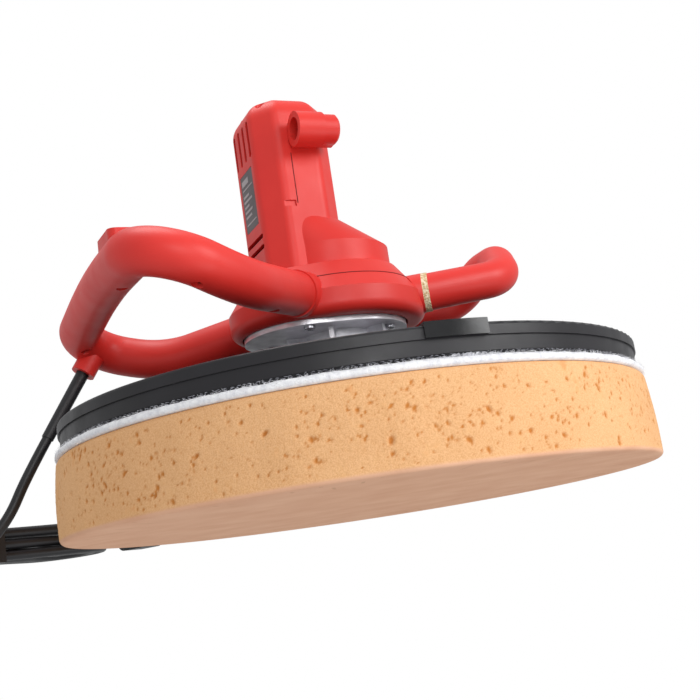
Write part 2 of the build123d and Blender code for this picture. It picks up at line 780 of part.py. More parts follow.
with BuildPart() as belly_lower:
    extrude(belly_outline(BELLY_BOTTOM, 0), amount=BELLY_SHOULDER - BELLY_BOTTOM)
    fillet(belly_lower.edges().group_by(Axis.Z)[0], 7.0)
    loft([belly_outline(BELLY_SHOULDER, 0), belly_outline(BELLY_TOP, 0)])
    split(bisect_by=Plane.XY.offset(BELLY_SEAM), keep=Keep.BOTTOM)
    add(branch_stubs.part)
    add(belly_cavity.part, mode=Mode.SUBTRACT)
    add(branch_bores.part, mode=Mode.SUBTRACT)
    extrude(pod_outline(BELLY_BOTTOM - 5, 47.2, 42.7), amount=SHELL + 6, mode=Mode.SUBTRACT)
save(belly_lower, "belly_lower")

with BuildPart() as belly_upper:
    loft([belly_outline(BELLY_SHOULDER, 0), belly_outline(BELLY_TOP, 0)])
    split(bisect_by=Plane.XY.offset(BELLY_SEAM), keep=Keep.TOP)
    add(branch_stubs.part, mode=Mode.SUBTRACT)
    add(belly_cavity.part, mode=Mode.SUBTRACT)
    add(branch_bores.part, mode=Mode.SUBTRACT)
    extrude(pod_outline(BELLY_TOP - SHELL - 1, 38.5, 28.0), amount=SHELL + 2, mode=Mode.SUBTRACT)
save(belly_upper, "belly_upper")

# Collar and motor housing ---------------------------------------------------------------------
with BuildPart() as collar:
    with BuildSketch(Plane.XY.offset(BELLY_TOP)):
        Circle(COLLAR_R)
    extrude(amount=COLLAR_TOP - BELLY_TOP)
    with BuildSketch(Plane.XY.offset(COLLAR_TOP)):
        Circle(COLLAR_R)
    with BuildSketch(Plane.XY.offset(SHOULDER_TOP)):
        with Locations((SHOULDER_X, 0)):
            Circle(31)
    loft()
    extrude(housing_outline(BELLY_TOP, 0), amount=HOUSING_BASE - BELLY_TOP)
    with BuildSketch(Plane.XY.offset(BELLY_TOP)):
        Circle(COLLAR_R - SHELL)
    extrude(amount=COLLAR_TOP - BELLY_TOP - SHELL, mode=Mode.SUBTRACT)
    extrude(housing_outline(BELLY_TOP, SHELL), amount=HOUSING_BASE - BELLY_TOP, mode=Mode.SUBTRACT)
    extrude(housing_outline(HOUSING_BASE, 0), amount=20, mode=Mode.SUBTRACT)
    for level in (171.5, 178.5):
        with BuildSketch(Plane.YZ.offset(MOTOR_X - HOUSING_X / 2 - 1)):
            with Locations((0, level)):
                SlotOverall(32, 3)
        extrude(amount=6, mode=Mode.SUBTRACT)
save(collar, "collar")


def housing_half(label, keep):
    """One half of the motor housing, either side of its upright seam."""
    with BuildPart() as half:
        extrude(housing_outline(HOUSING_BASE, 0), amount=HOUSING_TOP - HOUSING_BASE)
        fillet(half.edges().group_by(Axis.Z)[-1], HOUSING_DOME)
        extrude(
            housing_outline(HOUSING_BASE, SHELL),
            amount=HOUSING_TOP - 10 - HOUSING_BASE,
            mode=Mode.SUBTRACT,
        )
        with BuildSketch(Plane.XY.offset(UPPER_BEARING_Z - 1)):
            with Locations(MOTOR_AXIS):
                Circle(12)
                Rectangle(51, 3)
                Circle(9.52, mode=Mode.SUBTRACT)
        extrude(amount=12)
        with BuildSketch(Plane.YZ.offset(MOTOR_X - HOUSING_X / 2 - 1)):
            with Locations(*[(y, VENT_Z) for y in VENT_SPOTS]):
                SlotOverall(VENT_LENGTH, 3.6, rotation=90)
        extrude(amount=6, mode=Mode.SUBTRACT)
        with BuildSketch(Plane.YZ.offset(MOTOR_X - HOUSING_X / 2)):
            with Locations((0, PLATE_Z)):
                Rectangle(24, 40)
        extrude(amount=0.6, mode=Mode.SUBTRACT)
        with BuildSketch(Plane.XZ.offset(HOUSING_Y / 2)):
            with Locations((-35, 195)):
                Rectangle(12, 4)
        extrude(amount=-1.2, mode=Mode.SUBTRACT)
        with BuildSketch(Plane.XY.offset(HOUSING_TOP)):
            with Locations((-40, -19), (-40, 19), (-6, -21), (-6, 21)):
                Circle(3.4)
        extrude(amount=-9, mode=Mode.SUBTRACT)
        split(bisect_by=Plane.YZ.offset(HOUSING_SEAM_X), keep=keep)
    save(half, label)


housing_half("motor_housing_front", Keep.TOP)
housing_half("motor_housing_rear", Keep.BOTTOM)

with BuildPart() as nameplate:
    with BuildSketch(Plane.YZ.offset(MOTOR_X - HOUSING_X / 2 + 0.05)):
        with Locations((0, PLATE_Z)):
            RectangleRounded(23.6, 39.6, 1.5)
    extrude(amount=0.55)
save(nameplate, "nameplate")

TUBE_LEFT = -28.6
TUBE_STEP = -10.2
TUBE_RIGHT = 0.6
with BuildPart() as hanging_tube:
    with BuildSketch(Plane.YZ.offset(TUBE_LEFT)):
        with Locations((TUBE_Y, TUBE_Z)):
            Circle(11.3)
    extrude(amount=TUBE_STEP - TUBE_LEFT)
    with BuildSketch(Plane.YZ.offset(TUBE_STEP)):
        with Locations((TUBE_Y, TUBE_Z)):
            Circle(9.9)
    extrude(amount=TUBE_RIGHT - TUBE_STEP)
    chamfer(hanging_tube.edges().group_by(Axis.X)[-1], 1.6)
    with BuildSketch(Plane.XZ.offset(HOUSING_Y / 2)):
        with Locations(((TUBE_STEP + TUBE_RIGHT) / 2, TUBE_Z)):
            Rectangle(12, 15)
        with Locations(((TUBE_STEP + TUBE_LEFT) / 2, TUBE_Z)):
            Rectangle(15, 17)
    extrude(amount=8)
    with BuildSketch(Plane.YZ.offset(TUBE_LEFT)):
        with Locations((TUBE_Y, TUBE_Z)):
            Circle(7.5)
    extrude(amount=26, mode=Mode.SUBTRACT)
save(hanging_tube, "hanging_tube")

# D handle -------------------------------------------------------------------------------------
GRIP_PARTING = [
    (-20.0, 133.0),
    (GRIP_KNEE[0], GRIP_KNEE[2] + 1.5),
    (GRIP_CORNER[0] + 20, GRIP_CORNER[2] - 3.0),
    (GRIP_CORNER[0], GRIP_CORNER[2] + 4.0),
    (GRIP_CORNER[0] - 30, GRIP_CORNER[2] + 10.0),
]
SWITCH_Y = -64.0
SWITCH_SLOPE = (GRIP_CROWN[2] - GRIP_CORNER[2]) / GRIP_CORNER[1]
GRIP_SCREWS = [(-150.0, 84.0, 134.0), (-153.0, -54.0, 137.0), (-125.0, -107.0, 121.0), (-70.0, -71.5, 115.0)]
AIM = tuple(b - a for a, b in zip(SLEEVE_START, CORD_ROUTE[0]))
SLEEVE_PLANE = Plane(origin=SLEEVE_START, z_dir=AIM)


def switch_plane(height):
    """A plane over the rear grip, its own x along the grip towards the near corner."""
    drop = -SWITCH_SLOPE
    level = GRIP_CROWN[2] + SWITCH_Y * SWITCH_SLOPE
    return Plane(
        origin=(GRIP_CORNER[0], SWITCH_Y, level), x_dir=(0, -1, drop), z_dir=(0, drop, 1)
    ).offset(height)


with BuildPart() as grip_divider:
    with BuildSketch(Plane.XZ.offset(-150)):
        with BuildLine():
            Polyline(
                *GRIP_PARTING,
                (GRIP_PARTING[-1][0], 190),
                (GRIP_PARTING[0][0], 190),
                close=True,
            )
        make_face()
    extrude(amount=300)

with BuildPart() as grip_shell:
    add(grip_tube(GRIP_R))
    with BuildSketch(switch_plane(0)):
        RectangleRounded(36, 21, 5)
    extrude(amount=GRIP_R + 1.6)
    with BuildSketch(SLEEVE_PLANE):
        Circle(8.2)
    extrude(amount=14)
    add(grip_tube(GRIP_BORE_R), mode=Mode.SUBTRACT)
    for side in (-1, 1):
        with BuildSketch(branch_plane(side, GRIP_ROOT_REACH)):
            Circle(GRIP_R + 5)
        extrude(amount=-30, mode=Mode.SUBTRACT)
    with BuildSketch(switch_plane(3)):
        Rectangle(28, 14)
    extrude(amount=GRIP_R + 5, mode=Mode.SUBTRACT)
    with BuildSketch(SLEEVE_PLANE):
        Circle(4.7)
    extrude(amount=30, mode=Mode.SUBTRACT)
    with BuildSketch(SLEEVE_PLANE):
        Circle(6.6)
    extrude(amount=3.2, mode=Mode.SUBTRACT)

with BuildPart() as d_handle_upper:
    add(grip_shell.part)
    add(grip_divider.part, mode=Mode.INTERSECT)
save(d_handle_upper, "d_handle_upper")

with BuildPart() as d_handle_lower:
    add(grip_shell.part)
    add(grip_divider.part, mode=Mode.SUBTRACT)
    for x, y, well_top in GRIP_SCREWS:
        with BuildSketch(Plane.XY.offset(well_top - 10)):
            with Locations((x, y)):
                Circle(3.4)
        extrude(amount=10, mode=Mode.SUBTRACT)
save(d_handle_lower, "d_handle_lower")

ROCKER_AXLE = GRIP_R - 0.2


def rocker_plane(across):
    """Square across the rocker's axle, at a distance along the axle."""
    seat = switch_plane(ROCKER_AXLE)
    return Plane(origin=seat.origin, x_dir=seat.x_dir, z_dir=-seat.y_dir).offset(across)


with BuildPart() as switch_body:
    with BuildSketch(switch_plane(0.3)):
        Rectangle(27.6, 13.6)
    extrude(amount=GRIP_R + 2.4 - 0.3)
    with BuildSketch(switch_plane(GRIP_R - 4.0)):
        Rectangle(22.0, 10.4)
    extrude(amount=12, mode=Mode.SUBTRACT)
    with BuildSketch(rocker_plane(-8)):
        Circle(1.05)
    extrude(amount=16, mode=Mode.SUBTRACT)

save(switch_body, "switch_body")

with BuildPart() as switch_rocker:
    with BuildSketch(rocker_plane(-4.8)):
        with BuildLine():
            Polyline((-9.6, -0.4), (0, -2.6), (9.6, -0.4), (9.6, 3.6), (0, 2.2), (-9.6, 3.6), close=True)
        make_face()
    extrude(amount=9.6)
    with BuildSketch(rocker_plane(-6.2)):
        Circle(1.0)
    extrude(amount=12.4)
save(switch_rocker, "switch_rocker")
print("rocker axle", rocker_plane(0).origin, "axis", rocker_plane(0).z_dir)

# Front bow handle -----------------------------------------------------------------------------


def bow_tube(radius):
    """The front handle's arched loop as one solid rod, from inside the belly and back."""
    with BuildPart() as rod:
        with BuildLine() as path:
            FilletPolyline(
                mirrored(-1, BOW_START),
                mirrored(-1, BOW_CORNER),
                mirrored(-1, BOW_CROWN),
                mirrored(1, BOW_CROWN),
                mirrored(1, BOW_CORNER),
                mirrored(1, BOW_START),
                radius=[BOW_BEND_R, 16.0, 16.0, BOW_BEND_R],
            )
        with BuildSketch(Plane(origin=path.line @ 0, z_dir=path.line % 0)):
            Circle(radius)
        sweep()
    return rod.part


with BuildPart() as bow_divider:
    with BuildSketch(Plane.XZ.offset(-80)):
        with BuildLine():
            Polyline(
                (BOW_START[0], BOW_START[2]),
                (BOW_CORNER[0], BOW_CORNER[2]),
                (BOW_CROWN[0], BOW_CROWN[2]),
                (BOW_CROWN[0] + 18, 186),
                (BOW_START[0], 186),
                close=True,
            )
        make_face()
    extrude(amount=160)

with BuildPart() as bow_shell:
    add(bow_tube(BOW_R))
    add(bow_tube(BOW_BORE_R), mode=Mode.SUBTRACT)
    for side in (-1, 1):
        with BuildSketch(bow_root(side, BOW_GASKET)):
            Circle(24)
        extrude(amount=-30, mode=Mode.SUBTRACT)

with BuildPart() as bow_upper:
    add(bow_shell.part)
    add(bow_divider.part, mode=Mode.INTERSECT)
save(bow_upper, "front_handle_upper")

with BuildPart() as bow_lower:
    add(bow_shell.part)
    add(bow_divider.part, mode=Mode.SUBTRACT)
save(bow_lower, "front_handle_lower")

for side, label in ((-1, "front_gasket_near"), (1, "front_gasket_far")):
    with BuildPart() as bow_gasket:
        with BuildSketch(bow_plane(side, 0.0)):
            Circle(BOW_R + 0.6)
            Circle(BOW_BORE_R, mode=Mode.SUBTRACT)
        extrude(amount=40)
        with BuildSketch(bow_root(side, 0.0)):
            Circle(30)
        extrude(amount=BOW_GASKET, mode=Mode.INTERSECT)
    save(bow_gasket, label)

# Mains cord -----------------------------------------------------------------------------------
with BuildPart() as strain_relief:
    with BuildSketch(SLEEVE_PLANE):
        Circle(4.5)
    with BuildSketch(Plane(origin=CORD_ROUTE[0], z_dir=AIM)):
        Circle(4.1)
    loft()
    with BuildSketch(SLEEVE_PLANE):
        Circle(6.5)
    extrude(amount=3)
save(strain_relief, "strain_relief")


def bend_radii(route):
    """The largest tangent radius that each corner's two runs allow."""
    radii = []
    for before, here, after in zip(route, route[1:], route[2:]):
        arrive = Vector(*here) - Vector(*before)
        leave = Vector(*after) - Vector(*here)
        turn = math.radians(arrive.get_angle(leave))
        radii.append(0.45 * min(arrive.length, leave.length) / math.tan(turn / 2))
    return radii


CORD_RADII = bend_radii(CORD_ROUTE)
print("cord radii", [round(r, 1) for r in CORD_RADII])
with BuildPart() as mains_cord:
    with BuildLine() as cord_path:
        FilletPolyline(*CORD_ROUTE, radius=CORD_RADII)
    with BuildSketch(Plane(origin=cord_path.line @ 0, z_dir=cord_path.line % 0)):
        Circle(CORD_DIA / 2)
    sweep()
CORD_SECTION = math.pi * CORD_DIA**2 / 4
CORD_LENGTH = sum(edge.length for edge in cord_path.edges())
print("cord tube volume", mains_cord.part.volume, "section x length", CORD_SECTION * CORD_LENGTH)
save(mains_cord, "mains_cord")

def along_hank(distance, height):
    return (HANK_END[0] + HANK_AIM[0] * distance, HANK_END[1] + HANK_AIM[1] * distance, height)


HANK_ANGLE = math.degrees(math.atan2(HANK_AIM[1], HANK_AIM[0]))
HANK_MIDDLE = along_hank(HANK_RUN / 2, 0)[:2]
LOOP_INSET = HANK_LOOP_RADIUS - 17
with BuildPart() as cord_hank:
    for distance in (LOOP_INSET, HANK_RUN - LOOP_INSET):
        with BuildSketch(Plane.XY.offset(TIE_THICK)):
            with Locations(along_hank(distance, 0)[:2]):
                Circle(HANK_LOOP_RADIUS)
            with Locations(HANK_MIDDLE):
                Circle(HANK_WAIST / 2)
            make_hull()
        extrude(amount=HANK_TOP - TIE_THICK)
    fillet(cord_hank.edges().group_by(Axis.Z)[-1], 6.0)
    HANK_SOLE = cord_hank.faces().sort_by(Axis.Z)[0]
    LEAD_START = Vector(*along_hank(-6, 20))
    LEAD = Vector(*along_hank(PLUG_START, PLUG_Z)) - LEAD_START
    with BuildSketch(Plane(origin=LEAD_START, z_dir=LEAD)):
        Circle(CORD_DIA / 2)
    extrude(amount=LEAD.length)
save(cord_hank, "cord_hank")

with BuildPart() as hank_tie:
    with BuildSketch(Plane.XY):
        with Locations(HANK_MIDDLE):
            Rectangle(8, HANK_WAIST + 4 * TIE_THICK, rotation=HANK_ANGLE)
    extrude(amount=HANK_TOP + TIE_THICK)
    extrude(HANK_SOLE, amount=TIE_THICK - HANK_TOP, mode=Mode.SUBTRACT)
save(hank_tie, "hank_tie")

PLUG_AIM = (-HANK_AIM[0], -HANK_AIM[1], 0)
with BuildPart() as plug_body:
    with BuildSketch(Plane(origin=along_hank(PLUG_START, PLUG_Z), z_dir=PLUG_AIM)):
        Circle(5)
    with BuildSketch(Plane(origin=along_hank(PLUG_START - 16, PLUG_Z), z_dir=PLUG_AIM)):
        Circle(8)
    loft()
    with BuildSketch(Plane(origin=along_hank(PLUG_START - 16, PLUG_Z), x_dir=(0, 0, 1), z_dir=PLUG_AIM)):
        RectangleRounded(18, 30, 6)
    extrude(amount=PLUG_LENGTH - 16)
save(plug_body, "plug_body")

for side, word in ((1, "left"), (-1, "right")):
    across = (-HANK_AIM[1] * side * 9.5, HANK_AIM[0] * side * 9.5)
    foot = along_hank(PLUG_START - PLUG_LENGTH, PLUG_Z)
    with BuildPart() as plug_pin:
        with BuildSketch(Plane(origin=(foot[0] + across[0], foot[1] + across[1], PLUG_Z), z_dir=PLUG_AIM)):
            Circle(2.4)
        extrude(amount=19)
        fillet(plug_pin.faces().sort_by(Axis.Y)[-1].edges(), 1.2)
    save(plug_pin, f"plug_pin_{word}")
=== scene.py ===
import bpy
import json
import math
import numpy as np
from mathutils import Matrix, Vector


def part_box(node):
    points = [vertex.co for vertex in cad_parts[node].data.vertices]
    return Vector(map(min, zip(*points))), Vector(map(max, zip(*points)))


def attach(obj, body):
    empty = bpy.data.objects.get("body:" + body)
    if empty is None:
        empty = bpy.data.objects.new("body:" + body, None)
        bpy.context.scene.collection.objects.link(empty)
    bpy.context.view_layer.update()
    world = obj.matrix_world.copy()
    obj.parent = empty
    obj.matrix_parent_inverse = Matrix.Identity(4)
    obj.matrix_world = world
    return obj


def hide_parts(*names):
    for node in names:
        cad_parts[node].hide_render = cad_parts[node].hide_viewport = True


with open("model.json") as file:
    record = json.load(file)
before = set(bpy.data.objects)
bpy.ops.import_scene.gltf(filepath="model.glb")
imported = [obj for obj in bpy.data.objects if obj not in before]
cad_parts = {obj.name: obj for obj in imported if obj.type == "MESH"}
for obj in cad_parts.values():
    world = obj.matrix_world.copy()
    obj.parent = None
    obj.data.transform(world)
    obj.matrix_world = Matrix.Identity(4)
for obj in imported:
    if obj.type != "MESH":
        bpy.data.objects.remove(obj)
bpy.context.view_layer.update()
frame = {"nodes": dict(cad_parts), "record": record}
nodes = frame["nodes"]
scene = bpy.context.scene
rng = np.random.default_rng(380)
FULL_TURN = 2 * math.pi


# Camera -------------------------------------------------------------------------------------
EYE = Vector((-0.2934, -0.6559, -0.0452))
AIM = Vector((0.00575, -0.00257, 0.1022))
LEAN = math.radians(8.63)
LENS_MM = 56.9
FILM_MM = 36

look = (AIM - EYE).normalized()
sideways = look.cross(Vector((0, 0, 1))).normalized()
rise = sideways.cross(look)
across = sideways * math.cos(LEAN) - rise * math.sin(LEAN)
upward = sideways * math.sin(LEAN) + rise * math.cos(LEAN)
camera_data = bpy.data.cameras.new("camera")
camera_data.lens = LENS_MM
camera_data.sensor_width = FILM_MM
camera_data.clip_start = 0.01
camera = bpy.data.objects.new("camera", camera_data)
scene.collection.objects.link(camera)
camera_turn = Matrix((across, upward, -look)).transposed().to_4x4()
camera.matrix_world = Matrix.Translation(EYE) @ camera_turn
scene.camera = camera


# Materials ----------------------------------------------------------------------------------
def tone(red, green, blue):
    """An sRGB colour from 0 to 255 as the linear one that a shader takes."""
    values = [c / 255 for c in (red, green, blue)]
    return [c / 12.92 if c <= 0.04045 else ((c + 0.055) / 1.055) ** 2.4 for c in values] + [1]


# The sockets of a Mix node that mixes colours: its factor, colour A and colour B, and its result.
MIX_INPUTS = (0, 6, 7)
MIX_COLOUR_OUTPUT = 2


class Shader:
    """A Principled material, with the noise that drives its colour, roughness and bump."""

    def __init__(self, name, roughness=0.5, **constants):
        self.material = bpy.data.materials.new(name)
        self.material.use_nodes = True
        self.tree = self.material.node_tree
        self.main = self.tree.nodes["Principled BSDF"]
        self.main.inputs["Roughness"].default_value = roughness
        for socket, value in constants.items():
            self.main.inputs[socket.replace("_", " ")].default_value = value
        self.place = self.tree.nodes.new("ShaderNodeTexCoord").outputs["Object"]
        self.height = None

    def node(self, kind, **sockets):
        made = self.tree.nodes.new("ShaderNode" + kind)
        for socket, value in sockets.items():
            into = made.inputs[socket]
            if isinstance(value, bpy.types.NodeSocket):
                self.tree.links.new(value, into)
            else:
                into.default_value = value
        return made

    def stretched(self, scale):
        return self.node("Mapping", Vector=self.place, Scale=scale).outputs["Vector"]

    def noise(self, scale, detail):
        return self.node("TexNoise", Vector=self.place, Scale=scale, Detail=detail).outputs["Fac"]

    def cells(self, scale, place):
        return self.node("TexVoronoi", Vector=place, Scale=scale).outputs["Distance"]

    def ramp(self, value, *stops):
        """A colour from a value, by stops that each give a position and a colour."""
        made = self.node("ValToRGB", Fac=value)
        marks = made.color_ramp.elements
        while len(marks) < len(stops):
            marks.new(0.5)
        for mark, (at, colour) in zip(marks, stops):
            mark.position = at
            mark.color = colour
        return made.outputs["Color"]

    def span(self, value, low, high, start=0.3, stop=0.7):
        """The value's range from start to stop, spread over low to high."""
        made = self.node("MapRange", Value=value)
        made.inputs["From Min"].default_value = start
        made.inputs["From Max"].default_value = stop
        made.inputs["To Min"].default_value = low
        made.inputs["To Max"].default_value = high
        return made.outputs["Result"]

    def mix(self, share, first, second):
        made = self.tree.nodes.new("ShaderNodeMix")
        made.data_type = "RGBA"
        for socket, value in zip(MIX_INPUTS, (share, first, second)):
            if isinstance(value, bpy.types.NodeSocket):
                self.tree.links.new(value, made.inputs[socket])
            else:
                made.inputs[socket].default_value = value
        return made.outputs[MIX_COLOUR_OUTPUT]

    def colour(self, value):
        self.tree.links.new(value, self.main.inputs["Base Color"])

    def rough(self, value):
        self.tree.links.new(value, self.main.inputs["Roughness"])

    def bump(self, value, distance, strength=1.0):
        made = self.node("Bump", Height=value, Distance=distance, Strength=strength)
        if self.height is not None:
            self.tree.links.new(self.height, made.inputs["Normal"])
        self.height = made.outputs["Normal"]
        self.tree.links.new(self.height, self.main.inputs["Normal"])


def moulded(name, dark, light, rough, grain=2600, depth=0.00004, **constants):
    """Injection-moulded plastic: a faint mottle, a spark-eroded grain and uneven gloss."""
    made = Shader(name, **constants)
    made.colour(made.ramp(made.noise(22, 5), (0.3, tone(*dark)), (0.7, tone(*light))))
    made.rough(made.span(made.noise(60, 6), *rough))
    made.bump(made.noise(grain, 2), depth, 0.5)
    made.bump(made.noise(35, 2), 0.0006, 0.06)
    return made.material


def metal(name, dark, light, rough, grain=900, depth=0.0001, **constants):
    """Bare metal: a faint mottle, uneven gloss and a fine grain."""
    made = Shader(name, **{"Metallic": 1.0, **constants})
    made.colour(made.ramp(made.noise(130, 6), (0.3, tone(*dark)), (0.7, tone(*light))))
    made.rough(made.span(made.noise(220, 5), *rough))
    made.bump(made.noise(grain, 5), depth, 0.6)
    return made.material


def sponge_material():
    """Open-cell foam. One attribute marks the holes, the large ones most, for the painted shade that
    darkens them; the other marks the polishing face.
    """
    made = Shader("sponge_foam", roughness=0.95, Specular_IOR_Level=0.15)
    pore_shade = made.node("Attribute")
    pore_shade.attribute_name = "pore_shade"
    under = made.node("Attribute")
    under.attribute_name = "under"
    hole_and_shade = pore_shade.outputs["Fac"]
    cell = made.cells(620, made.stretched((1, 1, 0.75)))
    patch = made.noise(85, 3)

    side = made.ramp(made.noise(14, 4), (0.3, tone(222, 168, 116)), (0.7, tone(236, 184, 132)))
    # Painted shade in the fine cells: darker at the middle of each, where the bump sinks it.
    fine = made.ramp(cell, (0.05, tone(206, 140, 76)), (0.35, tone(240, 196, 140)))
    side = made.mix(made.span(cell, 0.55, 0.0, 0.08, 0.3), side, fine)
    specks = made.ramp(made.noise(1500, 3), (0.35, tone(204, 142, 86)), (0.6, tone(246, 200, 154)))
    side = made.mix(0.35, side, specks)
    stain = made.ramp(patch, (0.62, tone(240, 194, 138)), (0.74, tone(226, 150, 88)))
    side = made.mix(made.span(patch, 0.0, 0.55, 0.6, 0.75), side, stain)
    # Painted shade darkens the side's holes.
    side = made.mix(made.span(hole_and_shade, 0.0, 0.95, 0.02, 0.75), side, tone(196, 124, 58))

    face = made.ramp(made.noise(28, 6), (0.3, tone(224, 172, 140)), (0.7, tone(236, 188, 156)))
    # Painted shade darkens the holes in the polishing face.
    face = made.mix(made.span(hole_and_shade, 0.0, 0.6, 0.05, 0.8), face, tone(160, 110, 76))
    made.colour(made.mix(under.outputs["Fac"], side, face))
    made.bump(cell, 0.0002, 0.5)
    made.bump(made.noise(1900, 4), 0.0003, 0.7)
    return made.material


def cloth_material():
    """Matt loop pile with a soft sheen."""
    sheen = {"Sheen_Weight": 0.4, "Sheen_Roughness": 0.5}
    made = Shader("loop_pile", roughness=1.0, Specular_IOR_Level=0.1, **sheen)
    made.colour(made.ramp(made.noise(320, 5), (0.3, tone(226, 226, 232)), (0.6, tone(250, 250, 252))))
    made.bump(made.noise(1300, 5), 0.0009, 0.9)
    return made.material


def cast_material():
    """Die-cast aluminium, bright on the skin and dull where the skin is rough."""
    made = Shader("die_cast", Metallic=0.85)
    skin = made.ramp(made.noise(70, 8), (0.3, tone(205, 204, 209)), (0.72, tone(244, 243, 248)))
    made.colour(skin)
    made.rough(made.span(made.noise(160, 6), 0.28, 0.52))
    made.bump(made.noise(700, 6), 0.0002, 0.6)
    made.bump(made.noise(60, 3), 0.0012, 0.2)
    return made.material


def gasket_material():
    """Cream paper gasket with a pebbled face."""
    made = Shader("gasket_cream", roughness=0.85)
    made.colour(made.ramp(made.noise(600, 5), (0.35, tone(196, 160, 104)), (0.62, tone(244, 228, 196))))
    made.bump(made.cells(900, made.place), 0.0006, 1.0)
    return made.material


def stacked(name, dark, light, pitch, metallic, rough):
    """Sheets or wires stacked along the axis, drawn as fine rings."""
    made = Shader(name, roughness=rough, Metallic=metallic)
    rings = made.node("TexWave", Vector=made.place, Scale=pitch, Distortion=0.4)
    rings.bands_direction = "Z"
    made.colour(made.ramp(rings.outputs["Fac"], (0.2, tone(*dark)), (0.8, tone(*light))))
    made.bump(rings.outputs["Fac"], 0.0002, 0.6)
    return made.material


RED = moulded("red_shell", (216, 46, 40), (226, 54, 46), (0.38, 0.48), Specular_IOR_Level=0.4)
BLACK = moulded("black_moulding", (16, 14, 18), (28, 26, 31), (0.34, 0.48), 1700, 0.00007)
FOAM = sponge_material()
PILE = cloth_material()
CAST = cast_material()
STEEL = metal("turned_steel", (150, 150, 156), (196, 196, 202), (0.2, 0.36))
PLATED = metal("nickel_pins", (190, 190, 192), (220, 220, 222), (0.12, 0.22))
GEAR = metal("cut_gear_steel", (96, 96, 102), (146, 146, 152), (0.24, 0.4))
GLOSS = moulded("clip_gloss", (12, 12, 14), (20, 20, 22), (0.12, 0.22), 900, 0.00003)
HOOK = moulded("hook_backing", (22, 22, 25), (36, 36, 40), (0.7, 0.9), 1200, 0.0004)
RUBBER = moulded("soft_rubber", (24, 24, 26), (36, 36, 38), (0.5, 0.68), 1500, 0.00008)
LEAD = moulded("cord_jacket", (20, 20, 22), (30, 30, 33), (0.34, 0.5), 1800, 0.00005)
SWITCH = moulded("switch_satin", (20, 18, 19), (30, 27, 28), (0.3, 0.42), 2000, 0.00004)
FAN = moulded("fan_nylon", (26, 26, 28), (40, 40, 42), (0.45, 0.6))
CARBON = moulded("pressed_carbon", (22, 22, 22), (44, 44, 44), (0.6, 0.8))
PLATE = moulded("data_plate", (66, 58, 61), (80, 72, 75), (0.3, 0.4), 2200, 0.00002)
GASKET = gasket_material()
LAMINATE = stacked("core_sheets", (50, 50, 56), (98, 98, 106), 260, 0.7, 0.45)
COPPER = stacked("enamelled_wire", (122, 54, 24), (206, 112, 62), 330, 0.8, 0.3)

FINISHES = {
    "sponge": FOAM,
    "loop_fabric": PILE,
    "hook_fabric": HOOK,
    "black_plastic": BLACK,
    "clip_black": GLOSS,
    "red_plastic": RED,
    "cast_aluminium": CAST,
    "steel": STEEL,
    "gear_steel": GEAR,
    "lamination": LAMINATE,
    "copper": COPPER,
    "carbon": CARBON,
    "fan_plastic": FAN,
    "rubber": RUBBER,
    "cord_rubber": LEAD,
    "gasket": GASKET,
    "nameplate": PLATE,
    "switch_black": SWITCH,
    "pin_brass": PLATED,
}
for row in frame["record"]["subparts"]:
    held = nodes[row["node"]]
    for held_slot in held.material_slots:
        held_slot.material = FINISHES[row["material_slot"]]


# Meshes ---------------------------------------------------------------------------------------
# Added to a bar's outward direction, so that no bar here runs along it.
OFF_THE_PATH = np.array([0.0011, 0.0007, 0.013])


def piece(name, verts, faces, body, finish, smooth=True):
    """A visible mesh that rides on a body, with the given finish."""
    data = bpy.data.meshes.new(name)
    data.from_pydata([tuple(v) for v in verts], [], [tuple(f) for f in faces])
    data.materials.append(finish)
    data.polygons.foreach_set("use_smooth", [smooth] * len(data.polygons))
    made = bpy.data.objects.new(name, data)
    scene.collection.objects.link(made)
    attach(made, body)
    return made


def closed_faces(rows, columns):
    """Quads between rows of a closed ring, and a cap on the first row and on the last."""
    here = np.arange(rows * columns).reshape(rows, columns)
    beside = np.roll(here, -1, axis=1)
    quads = np.stack([here[:-1], beside[:-1], beside[1:], here[1:]], axis=-1).reshape(-1, 4)
    first_cap = tuple(range(columns))[::-1]
    last_cap = tuple(range((rows - 1) * columns, rows * columns))
    return [tuple(quad) for quad in quads] + [first_cap, last_cap]


def turned_piece(name, radii, heights, ring, finish):
    """A solid on the disc from rings of points round the axis, each with a radius and a height."""
    verts = np.stack([radii * np.cos(ring), radii * np.sin(ring), heights], axis=-1).reshape(-1, 3)
    return piece(name, verts, closed_faces(*radii.shape), "disc", finish)


def tube(path, radius, sides):
    """Vertices and faces of a round bar along a short path."""
    path = np.array(path)
    heading = np.gradient(path, axis=0)
    heading /= np.linalg.norm(heading, axis=1)[:, None]
    outward = path.mean(axis=0) * np.array([1, 1, 0]) + OFF_THE_PATH
    points = []
    for spot, ahead in zip(path, heading):
        first_side = np.cross(ahead, outward)
        first_side /= np.linalg.norm(first_side)
        second_side = np.cross(ahead, first_side)
        for step in range(sides):
            angle = FULL_TURN * step / sides
            points.append(spot + radius * (math.cos(angle) * first_side + math.sin(angle) * second_side))
    return points, closed_faces(len(path), sides)


# Mains cord and its hank ----------------------------------------------------------------------
CORD_DIAMETER = 0.007
HANK_END = Vector((-0.150, 0.190, 0))
HANK_AIM = Vector((-0.832, -0.555, 0))
HANK_SIDE = Vector((0.555, -0.832, 0))


def in_hank(along, side, height):
    """A point of the hank from its near end, in millimetres."""
    spot = HANK_END + HANK_AIM * (along / 1000) + HANK_SIDE * (side / 1000)
    return (spot.x, spot.y, height / 1000)


CORD_ROUTE = [
    (-0.1790, 0.0970, 0.0760),
    (-0.1958, 0.0963, 0.0499),
    (-0.2070, 0.0970, 0.0270),
    (-0.2260, 0.0955, 0.0065),
    (-0.2580, 0.0825, 0.0046),
]

